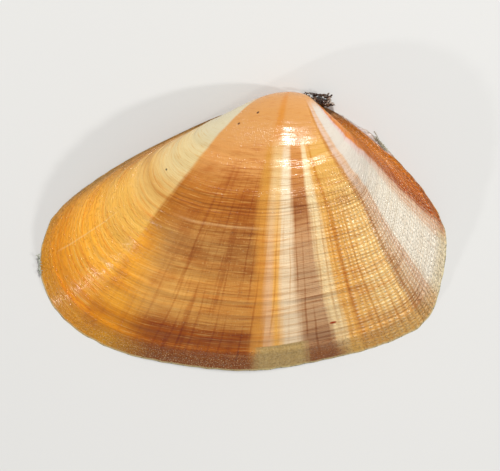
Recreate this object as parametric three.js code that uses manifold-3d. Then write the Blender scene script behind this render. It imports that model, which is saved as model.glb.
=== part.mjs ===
// One left valve of a bean clam, Donax faba, lying on its rim with the hollow side down. The torn ligament is
// still on it behind the beak, and two dried scraps cling to the edge. Millimetres, +Z up, the rim on z = 0.
// While the sizes below are laid out the hinge point is at x = y = 0, with the shell's back end at +X and the
// hinge side at +Y. The last lines move everything so that the origin is the middle of the base.
import * as THREE from "three";
import { mergeVertices } from "three/addons/utils/BufferGeometryUtils.js";
import Module from "manifold-3d";

const wasm = await Module();
wasm.setup();

// The outline of the rim, from the hinge point round the back end, the belly and the front end.
const RIM_LANDMARKS = [
  [0, 0],
  [2.1, -0.1],
  [4.1, -1.2],
  [7.0, -3.7],
  [8.95, -6.15],
  [9.75, -8.4],
  [9.25, -11.65],
  [8.45, -13.3],
  [6.8, -14.35],
  [3.5, -15.4],
  [-2.4, -16.35],
  [-8.6, -15.65],
  [-12.1, -14.4],
  [-14.2, -12.7],
  [-15.15, -10.7],
  [-15.15, -8.75],
  [-14.15, -6.5],
  [-11.0, -4.05],
  [-6.65, -1.75],
  [-3.75, -0.5],
  [-1.8, -0.1],
];

// The shell grows as a logarithmic spiral: each earlier rim is a smaller copy, turned up about the hinge line.
const SPIRAL_RATE = 1.13;
const BEAK_LEAN = 0.37; // how far the youngest rims lie towards the back end
const FRONT_STRETCH = 0.2; // the youngest rims were longer in front than a mere smaller copy
const FRONT_REACH = 10; // distance in front of the hinge at which that stretch is full
const BEAK_TURN = THREE.MathUtils.degToRad(165); // where the beak's tip ends
const HINGE_GAP = 0.12; // the rim stays this far from the line that the rims turn about
const EVEN_ROWS_TO = 0.2; // size of the earlier rim down to which rows are evenly spaced

// Pale lip of the rim where the back hinge slope ends.
const LIP = { at: [5.2, -2.2], reach: 1.3, height: 0.2, fromSize: 0.94 };

// Growth checks, each a small step down where the shell stopped growing for a while.
const GROWTH_CHECKS = [
  { size: 0.34, step: 0.04 },
  { size: 0.5, step: 0.08 },
  { size: 0.63, step: 0.04 },
  { size: 0.76, step: 0.08 },
  { size: 0.925, step: 0.07 },
];
const CHECK_FADE = 0.05; // share of the growth over which a step fades out
const CHECK_HALF = 0.008;

const RIM_WIDTH = 0.55; // flat width of the rim
const WALL_INSET = 1.25; // wall in the plane of an earlier rim, well up the shell
const CAVITY_CENTRE = new THREE.Vector2(-2.2, -7.6);
const CAVITY_TURN = THREE.MathUtils.degToRad(92); // where the hollow closes under the beak

// The hinge plate, a shelf below the beak that carries the teeth.
const PLATE = { at: 0.3, reach: 2.0, front: 6.2, back: 5.6, thickness: 1.05, recess: 0.55, lip: 0.3 };

// Teeth as long rounded ridges: middle, half length, half width and direction in degrees.
const TEETH = [
  { at: [-0.45, -1.1], half: 0.75, width: 0.24, turn: 64 },
  { at: [0.68, -1.05], half: 0.65, width: 0.17, turn: -58 },
  { at: [-3.35, -1.2], half: 1.05, width: 0.16, turn: 22 },
  { at: [3.3, -1.7], half: 0.85, width: 0.16, turn: -32 },
];
const TOOTH_HALF_HEIGHT = 0.5;
const TOOTH_MIDDLE_Z = 0.52;
const TOOTH_COVER = 0.15; // shell left over a tooth's root

// The ligament's torn half: its outline seen from above, and its height over the rim's plane.
const LIGAMENT_OUTLINE = [
  [0.55, -0.3],
  [0.6, 0.72],
  [0.95, 0.8],
  [1.2, 0.62],
  [1.55, 0.74],
  [2.05, 0.62],
  [2.55, 0.6],
  [2.78, 0.38],
  [2.66, 0.0],
  [2.4, -0.42],
];
const LIGAMENT = { bottom: 0.06, height: 0.86, clearance: 0.04 };

// Two dried scraps on the edge, seen from above: skin at the front end, and stuff behind the lip.
const FRONT_SCRAP_OUTLINE = [
  [-15.0, -9.1],
  [-15.46, -9.18],
  [-15.4, -9.62],
  [-15.5, -10.2],
  [-15.32, -10.42],
  [-15.0, -10.3],
];
const BACK_SCRAP_OUTLINE = [
  [5.2, -1.62],
  [5.55, -1.72],
  [5.9, -2.15],
  [6.1, -2.62],
  [5.9, -2.85],
  [5.0, -2.1],
];
const SCRAP = { bottom: 0.08, height: 0.18, clearance: 0.03 };

const FINEST = 0.006; // details smaller than this are merged away
const COLUMNS = 72;
const EVEN_ROWS = 18;
const BEAK_ROWS = 10;
const CAVITY_ROWS = 13;

const smooth = THREE.MathUtils.smoothstep;

// The rim as a closed smooth curve through its landmarks.
const rimCurve = new THREE.CatmullRomCurve3(
  RIM_LANDMARKS.map(([x, y]) => new THREE.Vector3(x, y, 0)),
  true,
  "catmullrom",
  0.5,
);
rimCurve.arcLengthDivisions = 2000;

// One entry a column: the rim's point, its outward normal, and the distance from the cavity's centre.
const columns = Array.from({ length: COLUMNS }, (_, i) => {
  const p = rimCurve.getPointAt(i / COLUMNS);
  const t = rimCurve.getTangentAt(i / COLUMNS);
  const point = new THREE.Vector2(p.x, Math.min(p.y, -HINGE_GAP));
  const outward = new THREE.Vector2(-t.y, t.x);
  const depth = point.clone().sub(CAVITY_CENTRE).dot(outward);
  const lip = Math.exp(-(((p.x - LIP.at[0]) ** 2 + (p.y - LIP.at[1]) ** 2) / LIP.reach ** 2));
  return { point, outward, depth, lip };
});

const turnOf = (size) => -Math.log(size) / SPIRAL_RATE;
const sizeOf = (turn) => Math.exp(-SPIRAL_RATE * turn);

// How far the surface has dropped after the growth checks, in millimetres.
function checkDrop(size) {
  return GROWTH_CHECKS.filter((c) => size > c.size).reduce(
    (drop, c) => drop + c.step * Math.exp(-(size - c.size) / CHECK_FADE),
    0,
  );
}

// A point in the plane of an earlier rim, set into space: the plane turns about the hinge line.
function turned(x, y, size, turn) {
  const stretch = 1 + FRONT_STRETCH * (1 - size) * smooth(-x / size, 0, FRONT_REACH);
  const lean = BEAK_LEAN * (1 - size) ** 2;
  return [x * stretch + lean, y * Math.cos(turn), -y * Math.sin(turn)];
}

function outerPoint(column, size, grow = 0) {
  const out = LIP.height * column.lip * smooth(size, LIP.fromSize, 1) + grow;
  const scale = size * (1 - checkDrop(size) / CAVITY_CENTRE.length());
  const x = scale * column.point.x + out * column.outward.x;
  const y = Math.min(scale * column.point.y + out * column.outward.y, -HINGE_GAP * size);
  return turned(x, y, size, turnOf(size));
}

// How far the hinge plate reaches in from the edge at x.
function plateReach(x) {
  const away = x < PLATE.at ? (PLATE.at - x) / PLATE.front : (x - PLATE.at) / PLATE.back;
  return PLATE.reach * (1 - smooth(away, 0, 1)) ** 0.8;
}

const onHingeSide = (column) => column.outward.y > 0.2;

// The hollow's edge in the plane at a turn: in from the outer edge by the wall, or by the hinge plate.
function innerPoint(column, turn) {
  const size = sizeOf(turn);
  const wall = THREE.MathUtils.lerp(RIM_WIDTH, WALL_INSET, smooth(1 - size, 0, 0.5));
  const above = PLATE.thickness / Math.max(Math.sin(turn), 1e-6);
  const plate = onHingeSide(column) ? Math.min(plateReach(size * column.point.x), above) : 0;
  const inset = Math.min(Math.max(wall, plate) / (size * column.depth), 1);
  const closing = Math.sqrt(Math.max(1 - (turn / CAVITY_TURN) ** 4, 0));
  const keep = (1 - inset) * closing;
  const x = size * THREE.MathUtils.lerp(CAVITY_CENTRE.x, column.point.x, keep);
  const y = size * THREE.MathUtils.lerp(CAVITY_CENTRE.y, column.point.y, keep);
  const [px, py, pz] = turned(x, y, size, turn);
  return [px, py, Math.hypot(pz, recessOf(column))];
}

// The plate's face lies above the rim's plane, so that the teeth end at that plane.
function recessOf(column) {
  if (!onHingeSide(column)) return 0;
  return PLATE.recess * smooth(plateReach(column.point.x), RIM_WIDTH, 1.3);
}

// Rims from the edge to the beak's tip, with a pair of rows at each growth check.
function outerSizes() {
  const even = Array.from({ length: EVEN_ROWS }, (_, i) => 1 - (i * (1 - EVEN_ROWS_TO)) / EVEN_ROWS);
  const near = (s) => GROWTH_CHECKS.some((c) => Math.abs(c.size - s) < 3 * CHECK_HALF);
  const steps = GROWTH_CHECKS.flatMap((c) => [c.size + CHECK_HALF, c.size - CHECK_HALF]);
  const from = turnOf(EVEN_ROWS_TO);
  const beak = Array.from({ length: BEAK_ROWS }, (_, i) => from + (i * (BEAK_TURN - from)) / (BEAK_ROWS - 1));
  return [...even.filter((s) => !near(s)), ...steps, ...beak.map(sizeOf)].sort((a, b) => a - b);
}

// A closed body from rings of points: the rings are joined in turn, and each end closes on its middle.
function ringBody(rings) {
  const n = rings[0].length;
  const middle = (ring) => [0, 1, 2].map((k) => ring.reduce((sum, p) => sum + p[k], 0) / n);
  const last = rings.length - 1;
  const points = [...rings.flat(), middle(rings[0]), middle(rings[last])];
  const index = [];
  for (let i = 0; i < n; i++) {
    const j = (i + 1) % n;
    index.push(points.length - 2, j, i);
    index.push(points.length - 1, last * n + i, last * n + j);
    for (let r = 0; r < last; r++) {
      const [a, b, c, d] = [r * n + i, r * n + j, (r + 1) * n + i, (r + 1) * n + j];
      index.push(a, b, c, b, d, c);
    }
  }
  const geometry = new THREE.BufferGeometry();
  geometry.setAttribute("position", new THREE.Float32BufferAttribute(points.flat(), 3));
  geometry.setIndex(index);
  return geometry;
}

function toSolid(geometry) {
  const bare = geometry.index ? geometry.toNonIndexed() : geometry.clone();
  for (const name of ["normal", "uv"]) bare.deleteAttribute(name);
  const merged = mergeVertices(bare, 1e-5);
  const vertProperties = new Float32Array(merged.attributes.position.array);
  const triVerts = new Uint32Array(merged.index.array);
  return new wasm.Manifold(new wasm.Mesh({ numProp: 3, vertProperties, triVerts }));
}

function toGeometry(solid) {
  const { vertProperties, triVerts } = solid.simplify(FINEST).getMesh();
  const geometry = new THREE.BufferGeometry();
  geometry.setAttribute("position", new THREE.BufferAttribute(new Float32Array(vertProperties), 3));
  geometry.setIndex(new THREE.BufferAttribute(new Uint32Array(triVerts), 1));
  return geometry;
}

// The valve's wall: beak to rim outside, across the rim, and up into the hollow.
function valveWall() {
  const outside = outerSizes().map((s) => columns.map((c) => outerPoint(c, s)));
  const edge = columns.map((c) => outerPoint(c, 1));
  const inner = columns.map((c) => innerPoint(c, 0));
  const across = (share, lift) =>
    columns.map((c, i) => {
      const [x, y] = [0, 1].map((k) => THREE.MathUtils.lerp(edge[i][k], inner[i][k], share));
      return [x, y, lift * recessOf(c)];
    });
  const inside = Array.from({ length: CAVITY_ROWS }, (_, i) =>
    columns.map((c) => innerPoint(c, (i * CAVITY_TURN * 0.995) / CAVITY_ROWS)),
  );
  return toSolid(ringBody([...outside, across(PLATE.lip, 0), across(PLATE.lip + 0.12, 1), ...inside]));
}

function tooth({ at, half, width, turn }) {
  const geometry = new THREE.SphereGeometry(1, 14, 8);
  geometry.scale(half, width, TOOTH_HALF_HEIGHT);
  geometry.rotateZ(THREE.MathUtils.degToRad(turn));
  geometry.translate(at[0], at[1], TOOTH_MIDDLE_Z);
  return toSolid(geometry);
}

// The space that the valve fills from outside, a little larger, to keep other pieces clear of it.
function valveEnvelope(clearance) {
  const rings = outerSizes().map((s) => columns.map((c) => outerPoint(c, s, clearance)));
  return toSolid(ringBody(rings));
}

// A flat ragged piece from its outline, cut away where the valve is.
function raggedPiece(outline, { bottom, height, clearance }) {
  const shape = new THREE.Shape(outline.map(([x, y]) => new THREE.Vector2(x, y)));
  const geometry = new THREE.ExtrudeGeometry(shape, { depth: height, bevelEnabled: false });
  geometry.translate(0, 0, bottom);
  const pieces = toSolid(geometry).subtract(valveEnvelope(clearance)).decompose();
  return pieces.sort((a, b) => b.volume() - a.volume())[0];
}

function mesh(name, solid, color, roughness) {
  const material = new THREE.MeshStandardMaterial({ color, roughness, metalness: 0 });
  const made = new THREE.Mesh(toGeometry(solid), material);
  made.name = name;
  return made;
}

const teeth = TEETH.map(tooth).reduce((all, one) => all.add(one));
const valve = valveWall().add(teeth.intersect(valveEnvelope(-TOOTH_COVER)));

const shell = new THREE.Group();
shell.add(mesh("left_valve", valve, 0xe0a04e, 0.3));
shell.add(mesh("ligament", raggedPiece(LIGAMENT_OUTLINE, LIGAMENT), 0x2c1b12, 0.7));
shell.add(mesh("front_scrap", raggedPiece(FRONT_SCRAP_OUTLINE, SCRAP), 0x9c9a80, 0.8));
shell.add(mesh("back_scrap", raggedPiece(BACK_SCRAP_OUTLINE, SCRAP), 0x8a8468, 0.8));

// The origin is the middle of the base.
const box = new THREE.Box3().setFromObject(shell);
const middle = box.getCenter(new THREE.Vector3());
shell.position.set(-middle.x, -middle.y, -box.min.z);

export default shell;
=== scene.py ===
"""A bean clam's left valve, hollow side down on a pale floor, seen from straight above.

Sizes are in millimetres and the meshes are turned into metres as they are made.
"""

import bpy
import numpy as np
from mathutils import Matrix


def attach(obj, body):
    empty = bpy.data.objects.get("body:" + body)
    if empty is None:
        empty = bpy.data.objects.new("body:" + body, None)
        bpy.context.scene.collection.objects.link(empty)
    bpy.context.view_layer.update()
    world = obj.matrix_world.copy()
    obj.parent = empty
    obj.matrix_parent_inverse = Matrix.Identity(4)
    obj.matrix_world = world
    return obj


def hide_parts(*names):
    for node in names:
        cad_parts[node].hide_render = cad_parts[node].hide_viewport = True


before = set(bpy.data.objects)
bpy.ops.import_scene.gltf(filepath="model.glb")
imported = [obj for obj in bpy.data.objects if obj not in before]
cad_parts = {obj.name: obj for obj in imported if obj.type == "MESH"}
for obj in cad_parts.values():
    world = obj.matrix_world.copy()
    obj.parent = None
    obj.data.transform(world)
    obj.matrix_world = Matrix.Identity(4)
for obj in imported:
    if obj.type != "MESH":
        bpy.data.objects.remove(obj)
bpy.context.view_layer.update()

# The valve: half of the clam's shell, a wall of hard lime about a millimetre thick. It grew at the rim, one
# line after another, so every line is a smaller copy of the rim turned up about the hinge. The outside is
# glossy, with colour rays, growth lines and, towards the back end, fine ribs. The inside is like porcelain.
MM = 0.001
# the hinge's middle in the frame, from which all other places are counted
HINGE = np.array([2.8889, 7.7546, 0.0])
# the rim seen from above, from the beak round the back end and the belly to the front end
RIM_LANDMARKS = np.array([
    (0, 0), (2.1, -0.1), (4.1, -1.2), (7.0, -3.7), (8.95, -6.15), (9.75, -8.4), (9.25, -11.65),
    (8.45, -13.3), (6.8, -14.35), (3.5, -15.4), (-2.4, -16.35), (-8.6, -15.65), (-12.1, -14.4),
    (-14.2, -12.7), (-15.15, -10.7), (-15.15, -8.75), (-14.15, -6.5), (-11.0, -4.05), (-6.65, -1.75),
    (-3.75, -0.5), (-1.8, -0.1),
])
SPIRAL_RATE = 1.13
BEAK_TURN = np.radians(165)
BEAK_LEAN = 0.37
HINGE_GAP = 0.12
FRONT_STRETCH = 0.2
FRONT_REACH = 10
# a small lip behind the beak, in the last growth
LIP_AT, LIP_REACH, LIP_HEIGHT, LIP_FROM = (5.2, -2.2), 1.3, 0.2, 0.94
# growth checks: the growth size where each step lies, and its height
GROWTH_CHECKS = [(0.505, 0.05), (0.545, 0.02), (0.63, 0.02), (0.755, 0.04), (0.925, 0.05)]
CHECK_FADE, CHECK_EDGE = 0.05, 0.003
# heights of the fine and coarse growth lines and of the rim's ragged edge, and how far the lines waver
FINE_LINES, COARSE_LINES, EDGE_RAGGED, LINE_WAVER = 0.011, 0.02, 0.02, 0.004
RIM_WIDTH, WALL_INSET = 0.55, 1.25
CAVITY_CENTRE = np.array([-2.2, -7.6])
CAVITY_TURN = np.radians(92)
# the hinge side is where the rim's outward normal points this much towards the beak
HINGE_SIDE = 0.2
PLATE_AT, PLATE_REACH, PLATE_FRONT, PLATE_BACK = 0.3, 2.0, 6.2, 5.6
PLATE_THICKNESS, PLATE_RECESS, PLATE_FULL = 1.05, 0.55, 1.3
# the flat of the rim, in shares of the way in from its outer edge, and where it steps to the plate's face
RIM_SHARES = np.array([0.04, 0.12, 0.3, 0.38, 0.7, 0.9])
PLATE_STEP = 0.28, 0.4
COLUMNS, OUTER_ROWS, BEAK_ROWS, INNER_ROWS = 400, 162, 24, 38
EVEN_ROWS_TO = 0.2
HOLLOW_TURNS = np.linspace(0, 0.995 * CAVITY_TURN, INNER_ROWS)


def smooth(x, low, high):
    """An S-shaped step: 0 up to low, 1 from high on, 3 k squared less 2 k cubed between them."""
    k = np.clip((x - low) / (high - low), 0, 1)
    return k * k * (3 - 2 * k)


def rim_curve(count):
    """The rim as a closed cubic spline through its landmarks, with slopes half the step between
    neighbours, in evenly spaced points. Gives the points and their outward normals."""
    steps = len(RIM_LANDMARKS)
    k = np.linspace(0, steps, 8001)
    i, f = np.floor(k).astype(int), (k % 1)[:, None]
    before, here, after, beyond = (RIM_LANDMARKS[(i + d) % steps] for d in (-1, 0, 1, 2))
    slope_here, slope_after = (after - before) / 2, (beyond - here) / 2
    cubic = 2 * (here - after) + slope_here + slope_after
    curve = here + f * slope_here + f**2 * (after - here - slope_here - cubic) + f**3 * cubic
    length = np.r_[0, np.cumsum(np.hypot(*np.diff(curve, axis=0).T))]
    even = np.linspace(0, length[-1], count, endpoint=False)
    points = np.stack([np.interp(even, length, curve[:, a]) for a in (0, 1)], 1)
    along = np.roll(points, -1, 0) - np.roll(points, 1, 0)
    along /= np.linalg.norm(along, axis=1, keepdims=True)
    points[:, 1] = np.minimum(points[:, 1], -HINGE_GAP)
    return points, np.stack([-along[:, 1], along[:, 0]], 1)


def turned(x, y, size, turn):
    """Plane points set into space: x stretched in front and leaning back by the square of the missing
    size, y turned up about the hinge line by the cosine and sine of the turn."""
    stretch = 1 + FRONT_STRETCH * (1 - size) * smooth(-x / size, 0, FRONT_REACH)
    return np.stack([x * stretch + BEAK_LEAN * (1 - size)**2, y * np.cos(turn), -y * np.sin(turn)], -1)


def ripple(x, pitch, seed, waves=5):
    """Uneven waves of about one height: sines of nearly the same pitch with random phases."""
    dice = np.random.default_rng(seed)
    rates, phases = dice.uniform(0.6, 1.6, waves), dice.uniform(0, 2 * np.pi, waves)
    return sum(np.sin(2 * np.pi * r * x / pitch + p) for r, p in zip(rates, phases)) / waves**0.5


def outside_of_valve(rim, outward):
    """Rows of the outside from the beak's tip to the rim. Each growth line is the rim times its size,
    where size is e to the minus rate times turn. Relief is then added along the surface's normal."""
    early = np.exp(-SPIRAL_RATE * np.linspace(BEAK_TURN, -np.log(EVEN_ROWS_TO) / SPIRAL_RATE, BEAK_ROWS))
    size = np.r_[early, np.linspace(EVEN_ROWS_TO, 1, OUTER_ROWS)[1:]][:, None]
    turn = -np.log(size) / SPIRAL_RATE
    lip = np.exp(-((rim - LIP_AT)**2).sum(1) / LIP_REACH**2)
    ragged = EDGE_RAGGED * ripple(np.arange(COLUMNS), pitch=9, seed=1) * smooth(size, 0.985, 1)
    out = LIP_HEIGHT * lip * smooth(size, LIP_FROM, 1) + ragged
    x = size * rim[:, 0] + out * outward[:, 0]
    y = np.minimum(size * rim[:, 1] + out * outward[:, 1], -HINGE_GAP * size)
    place = turned(x, y, size, turn)
    normal = np.cross(np.gradient(place, axis=0), np.roll(place, -1, 1) - np.roll(place, 1, 1))
    normal /= np.linalg.norm(normal, axis=-1, keepdims=True) + 1e-12
    round_rim = np.arange(COLUMNS) / COLUMNS
    waver = LINE_WAVER * ripple(round_rim, pitch=0.21, seed=2)
    drop = sum(
        step * smooth(size + waver, at - CHECK_EDGE, at + CHECK_EDGE)
        * np.exp(-np.maximum(size - at, 0) / CHECK_FADE)
        for at, step in GROWTH_CHECKS
    )
    fine_lines = FINE_LINES * ripple(size + waver, pitch=0.03, seed=3)
    coarse_lines = COARSE_LINES * ripple(size + 2 * waver, pitch=0.11, seed=4)
    relief = (fine_lines + coarse_lines - drop) * smooth(size, 0.12, 0.3) * smooth(1 - size, 0, 0.02)
    place = place + relief[..., None] * normal
    place[..., 2] = np.maximum(place[..., 2], 0)
    return place, size[:, 0]


def hollow_of_valve(rim, outward, turn):
    """Rows of the inside. In the plane at each turn the edge is the rim's copy drawn towards the hollow's
    centre by the wall's thickness, or by the hinge plate's reach, and it closes at the last turn."""
    size = np.exp(-SPIRAL_RATE * turn)
    depth = ((rim - CAVITY_CENTRE) * outward).sum(1)
    wall = RIM_WIDTH + (WALL_INSET - RIM_WIDTH) * smooth(1 - size, 0, 0.5)
    hinge_side = outward[:, 1] > HINGE_SIDE
    plate = np.minimum(plate_reach(size * rim[:, 0]), PLATE_THICKNESS / np.maximum(np.sin(turn), 1e-6))
    inset = np.minimum(np.maximum(wall, plate * hinge_side) / (size * depth), 1)
    keep = (1 - inset) * np.sqrt(np.maximum(1 - (turn / CAVITY_TURN)**4, 0))
    x, y = (size * (CAVITY_CENTRE[a] + keep * (rim[:, a] - CAVITY_CENTRE[a])) for a in (0, 1))
    place = turned(x, y, size, turn)
    place[..., 2] = np.hypot(place[..., 2], plate_recess(rim, outward))
    return place


def plate_reach(x):
    """How far the hinge plate reaches in from the edge: an uneven bell under the beak."""
    away = np.where(x < PLATE_AT, (PLATE_AT - x) / PLATE_FRONT, (x - PLATE_AT) / PLATE_BACK)
    return PLATE_REACH * (1 - smooth(away, 0, 1))**0.8


def plate_recess(rim, outward):
    """How far the plate's face lies above the rim's plane, so that the teeth end at that plane."""
    return PLATE_RECESS * smooth(plate_reach(rim[:, 0]), RIM_WIDTH, PLATE_FULL) * (outward[:, 1] > HINGE_SIDE)


def closed_rings(name, rings, uv_rows, inside_rows):
    """A closed body from rings of points: quads between neighbouring rings, and a fan of triangles from
    the middle of each end ring. The UV map holds the share of the way round and the growth size."""
    rows, count = rings.shape[:2]
    points = np.vstack([rings.reshape(-1, 3), rings[0].mean(0), rings[-1].mean(0)])
    col, nxt = np.arange(count), (np.arange(count) + 1) % count
    r = np.arange(rows - 1)[:, None] * count
    quads = np.stack([r + col, r + nxt, r + count + nxt, r + count + col], -1).reshape(-1, 4)
    first_pole, last_pole, last_ring = rows * count, rows * count + 1, (rows - 1) * count
    ends = np.r_[
        np.stack([np.full(count, first_pole), nxt, col], 1),
        np.stack([np.full(count, last_pole), last_ring + col, last_ring + nxt], 1),
    ]
    mesh = bpy.data.meshes.new(name)
    mesh.from_pydata(((points + HINGE) * MM).tolist(), [], quads.tolist() + ends.tolist())
    share = np.r_[np.tile(col / count, rows), 0.5, 0.5]
    size = np.r_[np.repeat(uv_rows, count), uv_rows[0], uv_rows[-1]]
    loops = np.empty(len(mesh.loops), dtype=np.int32)
    mesh.loops.foreach_get("vertex_index", loops)
    u = share[loops]
    # the last column's quads end at 1, not at the first column's 0
    last = np.zeros(len(loops), bool)
    last[: 4 * len(quads)] = np.repeat(np.tile(col == count - 1, rows - 1), 4)
    u = np.where(last & (u < 0.5), 1.0, u)
    uv = mesh.uv_layers.new(name="growth")
    uv.data.foreach_set("uv", np.stack([1 - u, size[loops]], 1).ravel().astype(np.float32))
    inside = np.r_[np.repeat(inside_rows, count), inside_rows[0], inside_rows[-1]]
    mesh.attributes.new("inside", "FLOAT", "POINT").data.foreach_set("value", inside.astype(np.float32))
    mesh.polygons.foreach_set("use_smooth", np.ones(len(mesh.polygons), bool))
    mesh.update()
    piece = bpy.data.objects.new(name, mesh)
    bpy.context.scene.collection.objects.link(piece)
    return piece


rim, outward = rim_curve(COLUMNS)
outside, outside_size = outside_of_valve(rim, outward)
rim_inner = hollow_of_valve(rim, outward, np.zeros((1, 1)))[0]
across = RIM_SHARES[:, None, None]
flat = outside[-1] * (1 - across) + rim_inner * across
flat[..., 2] = plate_recess(rim, outward) * smooth(RIM_SHARES, *PLATE_STEP)[:, None]
hollow = hollow_of_valve(rim, outward, HOLLOW_TURNS[:, None])
# the attribute "inside" is 0 on the outside, grows over the flat of the rim and is 1 in the hollow
valve = closed_rings(
    "valve",
    np.concatenate([outside, flat, hollow]),
    np.r_[outside_size, np.ones(len(RIM_SHARES)), np.exp(-SPIRAL_RATE * HOLLOW_TURNS)],
    np.r_[np.zeros(len(outside)), np.linspace(0.3, 1, len(RIM_SHARES)), np.ones(INNER_ROWS)],
)


def srgb(code):
    """A colour code's linear light values: each share to the power of 2.4 after an offset."""
    share = np.array([int(code[i:i + 2], 16) for i in (0, 2, 4)]) / 255
    return (*np.where(share > 0.04045, ((share + 0.055) / 1.055)**2.4, share / 12.92), 1.0)


class Wire:
    """A socket of a node that Python's operators can be used on. Each operator adds a Math node."""

    def __init__(self, paint, socket):
        self.paint, self.socket = paint, socket

    def maths(self, kind, *others):
        """Adds a Math node of a kind, with this wire as its first value."""
        return self.paint.node("ShaderNodeMath", {"operation": kind}, dict(enumerate((self, *others))))

    def __add__(self, other):
        return self.maths("ADD", other)

    def __radd__(self, other):
        return self.maths("ADD", other)

    def __mul__(self, other):
        return self.maths("MULTIPLY", other)

    def __rmul__(self, other):
        return self.maths("MULTIPLY", other)

    def __sub__(self, other):
        return self.maths("SUBTRACT", other)

    def __rsub__(self, other):
        return (self * -1).maths("ADD", other)

    def rise(self, low, high):
        """An S-shaped step from 0 at low to 1 at high."""
        return self.paint.node(
            "ShaderNodeMapRange", {"interpolation_type": "SMOOTHSTEP"},
            {0: self, 1: low, 2: high, 3: 0.0, 4: 1.0})

    def band(self, low, high, soft):
        """1 between low and high, which may be wires too, fading over the soft width at each end."""
        return (self - low).rise(-soft, soft) * (1 - (self - high).rise(-soft, soft))


class Paint:
    """A material made of nodes."""

    def __init__(self, name):
        self.material = bpy.data.materials.new(name)
        self.material.use_nodes = True
        self.tree = self.material.node_tree
        self.tree.nodes.clear()

    def node(self, kind, settings, inputs, output=0):
        """Adds a node of a kind, with its settings and then its inputs, and gives one of its outputs."""
        made = self.tree.nodes.new(kind)
        for key, value in settings.items():
            if key == "stops":
                elements = made.color_ramp.elements
                elements.remove(elements[1])
                elements[0].position, elements[0].color = value[0]
                for place, colour in value[1:]:
                    elements.new(place).color = colour
                made.color_ramp.interpolation = "EASE"
            else:
                setattr(made, key, value)
        for key, value in inputs.items():
            if isinstance(value, Wire):
                self.tree.links.new(value.socket, made.inputs[key])
            else:
                made.inputs[key].default_value = value
        return Wire(self, made.outputs[output]) if made.outputs else None

    def uv(self, name):
        """The two coordinates of a UV map."""
        both = self.node("ShaderNodeUVMap", {"uv_map": name}, {})
        return [self.node("ShaderNodeSeparateXYZ", {}, {0: both}, output=i) for i in (0, 1)]

    def at(self, x, y):
        """A place on a pattern, from two coordinates."""
        return self.node("ShaderNodeCombineXYZ", {}, {0: x, 1: y})

    def noise(self, place, scale=1.0, detail=2.0, rough=0.5):
        """Cloudy noise round 0.5."""
        return self.node("ShaderNodeTexNoise", {}, {
            "Vector": place, "Scale": scale, "Detail": detail, "Roughness": rough})

    def mix(self, amount, below, above):
        """The colour below, covered by the colour above by an amount from 0 to 1."""
        below, above = (srgb(c) if isinstance(c, str) else c for c in (below, above))
        return self.node("ShaderNodeMix", {"data_type": "RGBA"}, {0: amount, 6: below, 7: above}, output=2)

    def tint(self, amount, below, code):
        """The colour below, multiplied by another colour by an amount from 0 to 1."""
        return self.node(
            "ShaderNodeMix", {"data_type": "RGBA", "blend_type": "MULTIPLY"},
            {0: amount, 6: below, 7: srgb(code)}, output=2)

    def along(self, place, first, *stops, start=0.0, end=1.0):
        """Colours one after another on a ramp from start to end: each takes over between its two places."""
        marks = []
        for low, high, code in stops:
            marks.append(((low - start) / (end - start), srgb(first)))
            marks.append(((high - start) / (end - start), srgb(code)))
            first = code
        if (start, end) != (0.0, 1.0):
            place = self.node("ShaderNodeMapRange", {}, {0: place, 1: start, 2: end})
        return self.node("ShaderNodeValToRGB", {"stops": marks}, {0: place})

    def spot(self, place, middle, size):
        """1 up to half the size away from a middle, fading to 0 at the size."""
        away = self.node("ShaderNodeVectorMath", {"operation": "DISTANCE"}, {0: place, 1: middle}, output=1)
        return away.rise(size, size / 2)

    def finish(self, piece, slot, **inputs):
        """The surface itself, with the inputs of its shader, put on a piece."""
        shader = self.node("ShaderNodeBsdfPrincipled", {}, inputs)
        self.node("ShaderNodeOutputMaterial", {}, {"Surface": shader})
        piece.data.materials.append(self.material)


# Rays behind the brown field, towards the back end: where each begins as a share of the way round, how soft
# its edge is, and its colour in early and in late growth.
MIDDLE_RAYS = [
    (0.5260, 0.008, "cc8e3a", "dc943c"),
    (0.5408, 0.005, "e2bc80", "ecb884"),
    (0.5503, 0.004, "e2bc80", "f4b456"),
    (0.5608, 0.006, "ecd8b4", "f4d8b0"),
    (0.5818, 0.006, "cc8844", "cca074"),
    (0.6152, 0.005, "ecd4a4", "f4d49c"),
    (0.6326, 0.005, "dea858", "f2b65c"),
    (0.6446, 0.003, "c8862c", "dc9640"),
    (0.6520, 0.004, "dca854", "f6c06c"),
    (0.6733, 0.010, "dca854", "ffd68c"),
]
BACK_RAYS = [
    (0.7060, 0.004, "c0843c", "cca06c"),
    (0.7150, 0.004, "d0b098", "e0c4a4"),
    (0.7250, 0.004, "d0ac8c", "dcc0a8"),
    (0.7350, 0.003, "ccc2b4", "e8e0d0"),
    (0.7860, 0.008, "d0b4ac", "e4c4ac"),
    (0.8020, 0.006, "c87410", "b85808"),
    (0.8220, 0.011, "d07c08", "d87400"),
    (0.8510, 0.016, "d48408", "e88800"),
    (0.8900, 0.015, "e08c20", "e08818"),
    (0.9350, 0.008, "e0a050", "e0b080"),
]

# Specks: share of the way round, growth size, where the speck ends in those shares, colour.
SPECKS = [
    (0.4373, 0.203, 0.0055, "5a3820"),
    (0.3973, 0.246, 0.0050, "6a4224"),
    (0.3213, 0.456, 0.0035, "6a5a3c"),
    (0.6233, 0.870, 0.0050, "a03808"),
]

# Fine dark threads cross the growth lines, this many round the whole valve.
THREADS = 96


def ray_colours(shell, ray, rays, tone):
    """The colours of one set of rays side by side, in early growth with tone 0 and in late growth with 1."""
    takeovers = ((starts - soft, starts + soft, tones[tone]) for starts, soft, *tones in rays[1:])
    return shell.along(ray, rays[0][2 + tone], *takeovers, start=rays[0][0], end=rays[-1][0] + 0.02)


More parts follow.
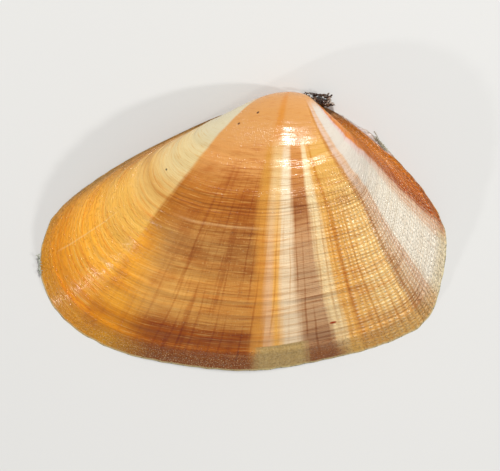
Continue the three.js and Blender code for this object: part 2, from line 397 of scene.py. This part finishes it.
def shell_colour(shell, u, v, fine, lines, grain, rib, row):
    """The outside's colour from u, the share of the way round, v, the growth size, and the relief's
    growth lines, grains, ribs and rows. A factor beside u or v in a noise is how many patches it has round
    the valve or from beak to rim. The numbers in rise, band and along are places in u, v or a noise."""
    fray = (shell.noise(shell.at(u * 300, v * 3), detail=3) - 0.5) * 0.01
    p = u + (shell.noise(shell.at(u * 14, v * 5)) - 0.5) * 0.008 + fray
    broad = shell.noise(shell.at(u * 3, v * 22), detail=2)
    cloud = shell.noise(shell.at(u * 26, v * 16), detail=3)
    comb = (u * (2 * np.pi * THREADS) + (shell.noise(shell.at(u * 24, v * 3)) - 0.5) * 9).maths("SINE")
    thread = comb.rise(0.6, 1.0) * shell.noise(shell.at(u * 80, v * 4), detail=3).rise(0.38, 0.62)
    cord = shell.noise(shell.at(u * 120, v * 4), detail=2)
    stage = v + broad * 0.06 - 0.03

    # front field: cream near the beak, then yellow, then bright orange; duller towards the front edge
    low = v - (1 - u.rise(0.14, 0.3)) * 0.09 + (cloud - 0.5) * 0.03
    front = shell.along(low, "cfc19a", (0.28, 0.4, "dac189"), (0.42, 0.52, "e2b566"), (0.53, 0.62, "f0b650"),
                        (0.64, 0.78, "ffb236"), (0.8, 0.92, "ea9418"))
    dull = shell.along(v, "c8a878", (0.4, 0.6, "be8a4a"), (0.82, 0.9, "a88048"))
    front = shell.mix((1 - p.rise(0.2, 0.29)) * v.rise(0.25, 0.4), front, dull)
    front = shell.tint(lines.rise(0.5, 0.68) * v.rise(0.3, 0.5) * 0.5, front, "f2bc6c")
    front = shell.tint(fine.rise(0.5, 0.7) * 0.5, front, "f0c88c")
    front = shell.mix(lines.rise(0.46, 0.3) * v.rise(0.5, 0.7) * p.rise(0.22, 0.3) * 0.35, front, "ffd476")
    scratch = (u + v * 0.06).band(0.3518, 0.3528, 0.0012) * v.band(0.66, 0.9, 0.04)
    front = shell.mix(scratch * 0.5, front, "ffe09d")
    grey = low + broad * 0.03 + u * 0.1
    front = shell.tint(grey.band(0.545, 0.575, 0.02) * p.rise(0.19, 0.25) * 0.55, front, "d8c0a0")

    # brown field: tan, then dark brown, then golden brown, then dark red-brown at the rim; its front side
    # is orange
    field = shell.along(stage, "d29858", (0.22, 0.35, "d49450"), (0.36, 0.46, "b87024"),
                        (0.52, 0.58, "bc8240"), (0.62, 0.72, "e2a24e"), (0.82, 0.88, "a4540a"))
    amber = shell.along(stage, "d09450", (0.28, 0.39, "d89e4c"), (0.4, 0.47, "b8741c"),
                        (0.56, 0.66, "f8aa30"), (0.84, 0.9, "e08c10"))
    field = shell.mix((p - v * 0.1).rise(0.345, 0.3), field, amber)
    field = shell.tint(p.rise(0.44, 0.5) * v.band(0.44, 0.86, 0.06) * 0.5, field, "dcc0a4")
    field = shell.tint(cloud.rise(0.45, 0.7) * v.rise(0.3, 0.4) * 0.5, field, "dcb47c")
    worn = 0.3 + p.rise(0.39, 0.46) * 0.7
    bold = v.rise(0.24, 0.4) * (1 - v.rise(0.56, 0.62) * 0.5)
    field = shell.tint(lines.rise(0.54, 0.64) * bold * worn * 0.6, field, "d0a864")
    field = shell.tint(fine.rise(0.48, 0.66) * v.rise(0.2, 0.32) * worn * 0.55, field, "d4ac68")
    field = shell.mix(fine.rise(0.46, 0.32) * v.rise(0.3, 0.5) * 0.35, field, "ecbc6c")
    field = shell.tint(thread * v.rise(0.3, 0.5) * worn * 0.48, field, "d09c50")
    field = shell.tint(cord.rise(0.52, 0.66) * v.rise(0.3, 0.5) * worn * 0.5, field, "d0a05c")
    field = shell.mix(grain.rise(0.58, 0.72) * v.band(0.52, 0.88, 0.04) * 0.3, field, "e8c07a")
    colour = shell.mix(p.rise(0.359, 0.369), front, field)

    # the rays drift towards the back as the valve grows, and those at the back are pinched together by
    # the beak
    drift = 0.03 + p.rise(0.54, 0.515) * 0.03 - p.rise(0.61, 0.64) * 0.02
    ray = p + (0.66 - v) * drift + v.rise(0.55, 0.12) * p.rise(0.6, 0.65) * 0.05
    for rays, first, end, since in (
            (MIDDLE_RAYS, 0.518, 0.534, stage.rise(0.24, 0.34)),
            (BACK_RAYS, 0.702, 0.71, 1.0)):
        early, late = (ray_colours(shell, ray, rays, tone) for tone in (0, 1))
        colour = shell.mix(ray.rise(first, end) * since, colour, shell.mix(v.rise(0.35, 0.7), early, late))
    behind = p.rise(0.505, 0.535)
    ribbed = ray.rise(0.6, 0.68) * v.rise(0.42, 0.6)
    white = ray.band(0.735, 0.786, 0.01)
    dark = ray.band(0.582, 0.615, 0.006)
    colour = shell.tint(dark * stage.band(0.43, 0.53, 0.04) * 0.6, colour, "c09c70")
    colour = shell.tint(dark * v.rise(0.85, 0.9) * 0.5, colour, "b49074")
    crossed = dark * (lines.rise(0.48, 0.6) + thread * 0.7) * v.rise(0.35, 0.45)
    colour = shell.tint(crossed * 0.4, colour, "bc946c")
    matt = behind * (1 - white * 0.6) * 0.5
    colour = shell.tint(lines.rise(0.5, 0.66) * v.rise(0.3, 0.4) * matt, colour, "dcbc94")
    colour = shell.tint(fine.rise(0.5, 0.66) * matt, colour, "d8b890")
    colour = shell.tint(thread * v.rise(0.4, 0.6) * matt, colour, "d8b48c")
    colour = shell.mix(ribbed * fine.rise(0.46, 0.32) * 0.3, colour, "fbe6bb")
    # painted shade: the ribbed part is darkened in the grooves between the ribs and between the rows
    colour = shell.tint(ribbed * rib.rise(-0.1, -0.9) * (1 - white * 0.7) * 0.42, colour, "dcb878")
    colour = shell.tint(ribbed * row.rise(-0.1, -0.9) * (1 - white * 0.5) * 0.38, colour, "dcbc80")
    # painted highlight: pale on the beads where the crests of the ribs and rows cross
    colour = shell.mix(ribbed * rib.rise(0.2, 0.9) * row.rise(0, 0.8) * 0.45, colour, "fff2d2")
    clouded = ray.band(0.65, 0.73, 0.01) * cloud.rise(0.5, 0.66) * v.rise(0.4, 0.5)
    colour = shell.tint(clouded * 0.4, colour, "d4ac84")
    rust = ray.rise(0.79, 0.81)
    colour = shell.tint(rust * lines.rise(0.5, 0.62) * 0.7, colour, "c89450")
    # lighter orange dots on the rust band: partly its own mottling, partly painted glints
    colour = shell.mix(rust * grain.rise(0.46, 0.36) * 0.5, colour, "f0a040")
    colour = shell.tint(ray.band(0.66, 0.73, 0.02) * stage.rise(0.85, 0.92) * 0.5, colour, "d4b494")

    # the beak is one even tan, with an orange streak on top
    tan = shell.mix(p.band(0.515, 0.54, 0.012) * 0.7, "cc9150", "cc8022")
    tan = shell.tint(fine.rise(0.5, 0.68) * 0.3, tan, "e4bc8c")
    tan = shell.mix(p.band(0.25, 0.362, 0.005) * v.rise(0.1, 0.18), tan, "ccc0a0")
    plain = (v + (broad - 0.5) * 0.1).rise(0.34, 0.22) * (1 - ray.rise(0.69, 0.71) * v.rise(0.13, 0.2))
    colour = shell.mix(plain, colour, tan)

    # growth checks: thin dark lines, with a pale one after the first group
    waver = v + (shell.noise(shell.at(u * 9, 0.5)) - 0.5) * 0.01
    waver = waver + (shell.noise(shell.at(u * 60, 1.5)) - 0.5) * 0.003
    brown = p.band(0.366, 0.73, 0.01)
    dark_checks = [
        (0.465, 0.5, brown), (0.488, 0.7, brown), (0.499, 0.8, brown), (0.508, 0.6, brown),
        (0.774, 0.6, p.band(0.58, 0.76, 0.02)), (0.895, 0.4, p.band(0.38, 0.8, 0.02)),
    ]
    for size, strength, where in dark_checks:
        check = waver.band(size - 0.001, size + 0.001, 0.003)
        colour = shell.tint(check * strength * where, colour, "946840")
    colour = shell.mix(waver.band(0.54, 0.546, 0.004) * 0.25 * p.band(0.4, 0.53, 0.02), colour, "ecc893")

    # the last growth: a band of brown and gold grains, with painted glints as sparse pale specks, and a pale
    # yellow patch in the middle
    painted_glints = shell.noise(shell.at(u * 900, v * 300), detail=1.0)
    bite = waver + (grain - 0.5) * 0.03 + (broad - 0.5) * 0.04
    last = shell.along(p, "a8803c", (0.2, 0.3, "dc981c"), (0.385, 0.45, "8a480e"), (0.62, 0.64, "cc9e4c"),
                       (0.73, 0.75, "cdb478"), (0.79, 0.8, "b05c08"), (0.87, 0.9, "d89030"))
    # painted glints: sparse pale specks over the last growth
    last = shell.mix(painted_glints.rise(0.58, 0.68) * (0.3 + p.band(0.26, 0.54, 0.05) * 0.4), last, "f8dca4")
    last = shell.tint(grain.rise(0.48, 0.34) * 0.5, last, "b48c60")
    colour = shell.mix(bite.rise(0.915, 0.975) * (0.5 + p.band(0.385, 0.64, 0.02) * 0.4), colour, last)
    patch = p.band(0.541, 0.593, 0.006) * waver.rise(0.912, 0.918)
    patch_colour = shell.mix(grain.rise(0.35, 0.7) * 0.6 + thread * 0.4, "b08e54", "ccae74")
    colour = shell.mix(patch, colour, patch_colour)
    place = shell.at(u, v)
    for at_u, at_v, size, code in SPECKS:
        colour = shell.mix(shell.spot(place, (at_u, at_v, 0), size), colour, code)

    # the lip behind the beak is pale, and so is the very edge, partly its own pale margin and partly a
    # painted edge highlight
    colour = shell.mix(p.band(0.885, 0.955, 0.006) * v.rise(0.92, 0.945) * 0.9, colour, "ecdcd4")
    return shell.mix(v.rise(0.992, 0.998) * 0.7, colour, "e6d69a")


def hollow_colour(shell, u, v):
    """The inside's colour: porcelain white, orange in the depth, a violet stain towards the back, and the
    marks of the two closing muscles and of the mantle's edge, which bends far in at the back."""
    cloud = shell.noise(shell.at(u * 7, v * 5))
    colour = shell.mix((1 - v.rise(0.3, 0.8)) * 0.75, "efe6d2", "e9b160")
    stain = u.band(0.62, 0.8, 0.05) * v.band(0.45, 0.9, 0.1) * cloud.rise(0.3, 0.6)
    colour = shell.mix(stain * 0.7, colour, "8d6a86")
    mantle = v + u.band(0.62, 0.74, 0.06) * 0.3 + cloud * 0.02
    colour = shell.tint(mantle.band(0.855, 0.875, 0.006) * u.band(0.26, 0.84, 0.01), colour, "dccdb8")
    # the valve is about this much longer round the rim than from beak to rim, so the scars come out round
    rim_to_height = 4.3
    place = shell.at(u * rim_to_height, v)
    for at_u in (0.235, 0.845):
        scar = shell.spot(place, (at_u * rim_to_height, 0.76, 0), 0.12)
        colour = shell.tint(scar, colour, "d8c4a6")
    return shell.mix(v.rise(0.93, 0.97) * 0.4, colour, "d9b98c")


# Relief: how many ribs run from the beak to the rim round the whole valve, with closer ones towards the back
# edge, how many rows cross them, and the height of the bumps.
RIBS, CLOSER_RIBS, ROWS, BUMP_HEIGHT = 140, 60, 88, 0.04
shell = Paint("polished shell lime")
u, v = shell.uv("growth")
inside = shell.node("ShaderNodeAttribute", {"attribute_name": "inside"}, {}, output=2)
fine = shell.noise(shell.at(u * 24, v * 230), detail=3, rough=0.6)
lines = shell.noise(shell.at(u * 10, v * 110), detail=3, rough=0.6)
swell = shell.noise(shell.at(u * 30, v * 28), detail=2)
rib = (u * RIBS + (u - 0.7) * u.rise(0.68, 0.75) * CLOSER_RIBS) * (2 * np.pi)
rib = (rib + (shell.noise(shell.at(u * 40, v * 5)) - 0.5) * 11).maths("SINE")
row = (v * (2 * np.pi * ROWS) + (shell.noise(shell.at(u * 12, v * 10)) - 0.5) * 9).maths("SINE")
ribbed = u.rise(0.58, 0.7) * v.rise(0.34, 0.5)
grain = shell.noise(shell.at(u * 420, v * 130), detail=3)
bead = shell.noise(shell.at(u * 400, v * 120), detail=1.0).rise(0.54, 0.66)
dash = shell.noise(shell.at(u * 170, v * 160), detail=1.0).rise(0.52, 0.64)
front, rust = 1 - u.rise(0.34, 0.4), u.rise(0.79, 0.82)
height = (
    (fine * 0.6 + lines * 1.2 + swell * (0.8 - front * 0.5)) * (0.2 + v.rise(0.32, 0.46) * 0.8)
    + (rib * 0.3 + row * 0.38 + rib * row * 0.28) * ribbed
    + bead * (v.rise(0.9, 0.95) * 0.9 + rust * 0.9 + ribbed * 0.9 + 0.12)
    + dash * front * v.rise(0.5, 0.7) * 0.8
) * (1 - inside)
bump = shell.node("ShaderNodeBump", {}, {"Strength": 1.0, "Distance": BUMP_HEIGHT * MM, "Height": height})
within = inside.rise(0.2, 0.6)
outer_colour = shell_colour(shell, u, v, fine, lines, grain, rib, row)
shell.finish(valve, "shell", **{
    "Base Color": shell.mix(within, outer_colour, hollow_colour(shell, u, v)),
    "Roughness": 0.1 + 0.16 * grain * (1 - inside),
    "Specular IOR Level": 0.36,
    "Normal": bump,
})
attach(valve, "root")
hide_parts("left_valve")

# Teeth: four smooth ridges of the shell's own lime, which stand on the hinge plate and end at the rim's
# plane. Each has the x and y of its middle, its half length, its half width and its turn in degrees.
TEETH = np.array([
    (-0.45, -1.1, 0.75, 0.24, 64), (0.68, -1.05, 0.65, 0.17, -58),
    (-3.35, -1.2, 1.05, 0.16, 22), (3.3, -1.7, 0.85, 0.16, -32),
])
TOOTH_MIDDLE_Z, TOOTH_HALF_HEIGHT = 0.45, 0.43


def ragged_balls(name, centres, sizes, turns, seed, waves=0.35):
    """One mesh of many closed lumps or flakes: each is a ball of rings, scaled to its three half sizes,
    with its radius varied by a few sines of the angle round it, turned by its three angles and set at its
    centre. The attribute "flake" holds one random number for each."""
    rings, spokes, rest_height = 7, 14, 0.012
    dice = np.random.default_rng(seed)
    lat = np.linspace(0, np.pi, rings + 1)[1:-1, None]
    lon = np.linspace(0, 2 * np.pi, spokes, endpoint=False)
    ball = np.stack([np.sin(lat) * np.cos(lon), np.sin(lat) * np.sin(lon), np.cos(lat) + 0 * lon], -1)
    ball = np.vstack([ball.reshape(-1, 3), [[0, 0, 1], [0, 0, -1]]])
    angle = np.r_[np.tile(lon, rings - 1), 0, 0]
    count, each = len(centres), len(ball)
    phases = dice.uniform(0, 2 * np.pi, (count, 3, 1))
    sines = sum(np.sin(k * angle + phases[:, i]) / (i + 1) for i, k in enumerate((3, 5, 8)))
    ragged = 1 + waves * sines * np.hypot(*ball[:, :2].T)
    points = ball * ragged[..., None] * np.asarray(sizes)[:, None]
    for axis, angles in enumerate(np.radians(turns).T):
        a, b = [i for i in range(3) if i != axis]
        c, w = np.cos(angles)[:, None], np.sin(angles)[:, None]
        from_a, from_b = points[..., a].copy(), points[..., b].copy()
        points[..., a] = c * from_a - w * from_b
        points[..., b] = w * from_a + c * from_b
    points = points + np.asarray(centres)[:, None]
    points[..., 2] = np.maximum(points[..., 2], rest_height)
    k, j = np.arange(spokes), (np.arange(spokes) + 1) % spokes
    r = np.arange(rings - 2)[:, None] * spokes
    quads = np.stack([r + k, r + spokes + k, r + spokes + j, r + j], -1).reshape(-1, 4)
    top = np.stack([np.full(spokes, each - 2), k, j], 1)
    foot = (rings - 2) * spokes
    bottom = np.stack([np.full(spokes, each - 1), foot + j, foot + k], 1)
    starts = np.arange(count)[:, None, None] * each
    faces = [f for part in (quads, top, bottom) for f in (starts + part).reshape(-1, part.shape[1]).tolist()]
    mesh = bpy.data.meshes.new(name)
    mesh.from_pydata(((points.reshape(-1, 3) + HINGE) * MM).tolist(), [], faces)
    mesh.polygons.foreach_set("use_smooth", np.ones(len(mesh.polygons), bool))
    pale = np.repeat(dice.uniform(0, 1, count), each)
    mesh.attributes.new("flake", "FLOAT", "POINT").data.foreach_set("value", pale.astype(np.float32))
    mesh.update()
    piece = bpy.data.objects.new(name, mesh)
    bpy.context.scene.collection.objects.link(piece)
    return piece


for_each = np.ones(len(TEETH))
teeth = ragged_balls(
    "hinge_teeth",
    centres=np.c_[TEETH[:, :2], TOOTH_MIDDLE_Z * for_each],
    sizes=np.c_[TEETH[:, 2:4], TOOTH_HALF_HEIGHT * for_each],
    turns=np.c_[0 * for_each, 0 * for_each, TEETH[:, 4]],
    seed=3, waves=0.06,
)
enamel = Paint("tooth enamel")
place = enamel.node("ShaderNodeTexCoord", {}, {}, output=3)
enamel.finish(teeth, "shell", **{
    "Base Color": enamel.mix(enamel.noise(place, scale=1500.0).rise(0.3, 0.7), "e6dac4", "f0e8da"),
    "Roughness": 0.2})
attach(teeth, "root")

# The ligament: the torn half of the horny band that sprang the two valves apart. It is dry and flaky, almost
# black inside, with frayed grey-white edges, and it is still bonded to the edge just behind the beak.
CORE_LUMPS, FLAKES, CREST_FLAKES = 6, 54, 18


def drawn(dice, count, *ranges):
    """Random rows of numbers: one column after another, each drawn evenly from its range."""
    return np.stack([dice.uniform(low, high, count) for low, high in ranges], 1)


dice = np.random.default_rng(11)
along = dice.uniform(0, 1, FLAKES)
crest = np.sort(dice.uniform(0, 1, CREST_FLAKES))
core_x = np.linspace(0.95, 2.5, CORE_LUMPS)
flake_y = 0.62 - 0.8 * dice.uniform(0, 1, FLAKES) * (0.4 + 0.6 * along)
flake_z = dice.uniform(0.15, 0.8, FLAKES)
crest_z = dice.uniform(0.55, 0.82, CREST_FLAKES)
places = np.r_[
    np.stack([core_x, 0.28 - 0.1 * (core_x - 1), np.full(CORE_LUMPS, 0.42)], 1),
    np.stack([0.75 + 1.85 * along, flake_y, flake_z], 1),
    np.stack([1.05 + 1.6 * crest, 0.72 - 0.28 * crest**2, crest_z], 1),
]
half_sizes = np.r_[
    np.tile([0.3, 0.26, 0.3], (CORE_LUMPS, 1)),
    drawn(dice, FLAKES, (0.1, 0.26), (0.05, 0.13), (0.012, 0.03)),
    drawn(dice, CREST_FLAKES, (0.1, 0.22), (0.02, 0.05), (0.015, 0.03)),
]
tilts = np.r_[
    dice.uniform(-12, 12, (CORE_LUMPS, 3)),
    dice.uniform(-50, 50, (FLAKES, 3)),
    dice.uniform(-25, 25, (CREST_FLAKES, 3)),
]
ligament = ragged_balls("torn_ligament", places, half_sizes, tilts, seed=12)
horn = Paint("dry torn horn")
flake = horn.node("ShaderNodeAttribute", {"attribute_name": "flake"}, {}, output=2)
place = horn.node("ShaderNodeTexCoord", {}, {}, output=3)
cloud = horn.noise(place, scale=9000.0, detail=4)
horn_colour = horn.mix(cloud.rise(0.4, 0.65), "140c06", "4a2a14")
horn_colour = horn.mix(flake.rise(0.55, 0.7) * cloud.rise(0.35, 0.6), horn_colour, "6a4c34")
horn_colour = horn.mix(flake.rise(0.78, 0.9) * cloud.rise(0.4, 0.6), horn_colour, "b0a092")
horn_bump = horn.node("ShaderNodeBump", {}, {"Strength": 1.0, "Distance": 0.02 * MM, "Height": cloud})
horn.finish(ligament, "ligament", **{
    "Base Color": horn_colour, "Roughness": 0.35 + 0.3 * cloud, "Coat Weight": 0.15, "Normal": horn_bump})
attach(ligament, "root")
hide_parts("ligament")

# The scraps: bits of the clam's dried greenish skin that curl off the rim at the front end, and shreds of
# skin and a plant hair that have stuck to the rim behind the beak.
FRONT_SHREDS, BACK_SHREDS, HAIR_BEADS = 9, 26, 12
SKIN_HALF = 0.012
dice = np.random.default_rng(5)
front_x = -15.3 - 0.07 * dice.uniform(-1, 1, FRONT_SHREDS)
front_y = np.linspace(-9.25, -10.35, FRONT_SHREDS)
front_z = dice.uniform(0.1, 0.2, FRONT_SHREDS)
front_sizes = drawn(dice, FRONT_SHREDS, (0.06, 0.13), (0.06, 0.13))
front_scrap = ragged_balls(
    "front_skin_scrap",
    centres=np.stack([front_x, front_y, front_z], 1),
    sizes=np.c_[front_sizes, np.full(FRONT_SHREDS, SKIN_HALF)],
    turns=dice.uniform(-35, 35, (FRONT_SHREDS, 3)),
    seed=6, waves=0.5,
)

# the hair is a row of long beads, and the shreds lie along the rim behind it
hair = np.linspace(0, 1, HAIR_BEADS)
spread = dice.uniform(0, 1, BACK_SHREDS)
shred_z = dice.uniform(0.1, 0.2, BACK_SHREDS)
shred_sizes = drawn(dice, BACK_SHREDS, (0.05, 0.13), (0.03, 0.07))
shred_tilt = dice.uniform(-30, 30, BACK_SHREDS)
shred_turn = dice.uniform(20, 75, BACK_SHREDS)
back_scrap = ragged_balls(
    "back_skin_scrap",
    centres=np.r_[
        np.stack([5.3 + 0.3 * hair, -1.64 - 0.56 * hair**1.2, 0.3 - 0.12 * hair], 1),
        np.stack([5.35 + 0.72 * spread, -2.0 - 0.8 * spread, shred_z], 1),
    ],
    sizes=np.r_[
        np.tile([0.022, 0.05, 0.018], (HAIR_BEADS, 1)),
        np.c_[shred_sizes, np.full(BACK_SHREDS, SKIN_HALF)],
    ],
    turns=np.r_[
        np.tile([10, 0, -28], (HAIR_BEADS, 1)),
        np.stack([shred_tilt, shred_tilt, shred_turn], 1),
    ],
    seed=7, waves=0.3,
)

for piece, node, slot, dark, pale in (
        (front_scrap, "front_scrap", "dried_skin", "84887a", "b6b8aa"),
        (back_scrap, "back_scrap", "dried_matter", "77745c", "b0a892")):
    skin = Paint(slot.replace("_", " "))
    place = skin.node("ShaderNodeTexCoord", {}, {}, output=3)
    cloud = skin.noise(place, scale=7000.0, detail=3)
    flake = skin.node("ShaderNodeAttribute", {"attribute_name": "flake"}, {}, output=2)
    skin_bump = skin.node("ShaderNodeBump", {}, {"Strength": 1.0, "Distance": 0.01 * MM, "Height": cloud})
    skin.finish(piece, slot, **{
        "Base Color": skin.mix((flake * 0.6 + cloud * 0.5).rise(0.3, 0.8), dark, pale),
        "Roughness": 0.45 + 0.2 * cloud, "Normal": skin_bump})
    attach(piece, "root")
    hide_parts(node)

# The floor, the light and the camera. The floor is a sheet of pale paper two metres wide. The light is a soft
# lamp beyond the hinge side, a small one low on either side, and white all round. The camera looks straight
# down from far away.
floor_corners = [(-1, -1, 0), (1, -1, 0), (1, 1, 0), (-1, 1, 0)]
floor_mesh = bpy.data.meshes.new("floor")
floor_mesh.from_pydata(floor_corners, [], [(0, 1, 2, 3)])
floor = bpy.data.objects.new("floor", floor_mesh)
bpy.context.scene.collection.objects.link(floor)
floor_paint = Paint("pale paper")
place = floor_paint.node("ShaderNodeTexCoord", {}, {}, output=3)
tone = floor_paint.noise(place, scale=30.0)
floor_shader = floor_paint.node("ShaderNodeBsdfPrincipled", {}, {
    "Base Color": floor_paint.mix(tone, "d4d3d0", "d8d7d4"), "Roughness": 0.9})
floor_paint.node("ShaderNodeOutputMaterial", {}, {"Surface": floor_shader})
floor_mesh.materials.append(floor_paint.material)


def lamp(name, place, size, power):
    """A round lamp that looks at the valve's middle, with its place and width in metres and its power
    in watts."""
    data = bpy.data.lights.new(name, "AREA")
    data.shape, data.size, data.energy = "DISK", size, power
    made = bpy.data.objects.new(name, data)
    made.location = place
    made.rotation_euler = (-made.location).to_track_quat("-Z", "Y").to_euler()
    bpy.context.scene.collection.objects.link(made)


lamp("key", (0.05, 0.235, 0.215), 0.038, 0.82)
lamp("fill_left", (-0.29, -0.18, 0.14), 0.016, 0.26)
lamp("fill_right", (0.29, -0.06, 0.17), 0.02, 0.4)

SURROUND_STRENGTH = 0.43
world = bpy.data.worlds.new("studio")
world.use_nodes = True
surround = world.node_tree.nodes["Background"]
surround.inputs["Color"].default_value = (1, 1, 1, 1)
surround.inputs["Strength"].default_value = SURROUND_STRENGTH
bpy.context.scene.world = world
bpy.context.scene.view_settings.view_transform = "Standard"

# what the picture shows: its width and its middle, and how high above it the camera is
VIEW_WIDTH = 30.75
VIEW_MIDDLE = (0.552, -0.271)
VIEW_DISTANCE = 600
camera_data = bpy.data.cameras.new("camera")
camera_data.lens = camera_data.sensor_width * VIEW_DISTANCE / VIEW_WIDTH
camera_data.clip_end = 10
camera = bpy.data.objects.new("camera", camera_data)
camera.location = (VIEW_MIDDLE[0] * MM, VIEW_MIDDLE[1] * MM, VIEW_DISTANCE * MM)
bpy.context.scene.collection.objects.link(camera)
bpy.context.scene.camera = camera
